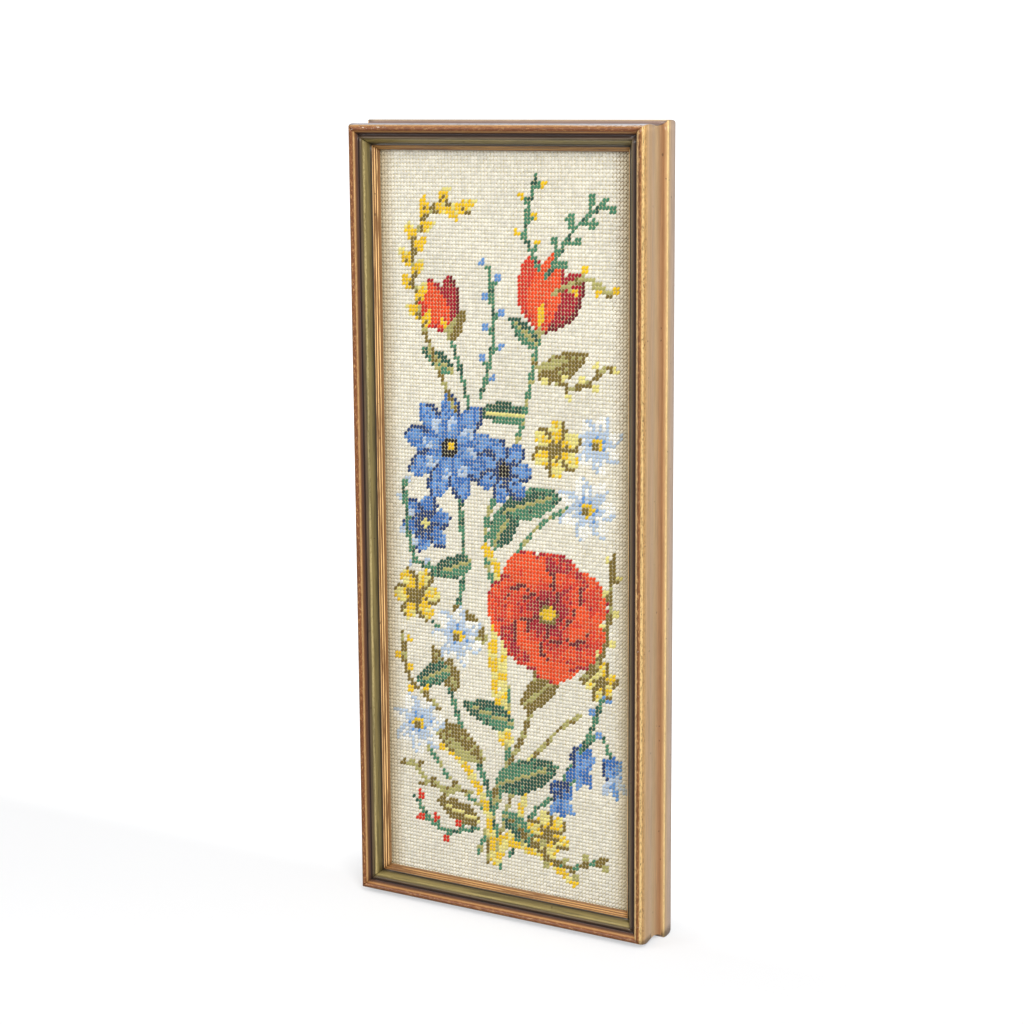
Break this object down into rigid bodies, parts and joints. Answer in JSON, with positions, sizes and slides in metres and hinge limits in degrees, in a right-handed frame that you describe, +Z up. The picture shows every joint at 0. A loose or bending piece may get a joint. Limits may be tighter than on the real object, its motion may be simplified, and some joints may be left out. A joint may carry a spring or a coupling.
{
  "type": "needlepoint canvas panel in a picture frame",
  "caption": "Tall narrow wool needlepoint of flowers, stretched in a mitred compound wood moulding with a reeded inner lip.",
  "frame": {"origin": "middle of the flat back face of the top rail, where the panel bears on the wall", "axes": "+X to the right seen from the front, +Z up, -Y out of the picture's face, +Y into the wall"},
  "size_m": [0.23, 0.0434, 0.5385],
  "materials": {
    "wool_canvas": "matt wool tent stitch",
    "board": "matt board",
    "stained_wood": "satin brown stain with olive and black bands and rubbed gold edges"
  },
  "bodies": {
    "root": {"needlepoint_canvas": "wool_canvas", "mounting_board": "board", "top_rail": "stained_wood", "bottom_rail": "stained_wood", "left_rail": "stained_wood", "right_rail": "stained_wood"}
  },
  "joints": []
}
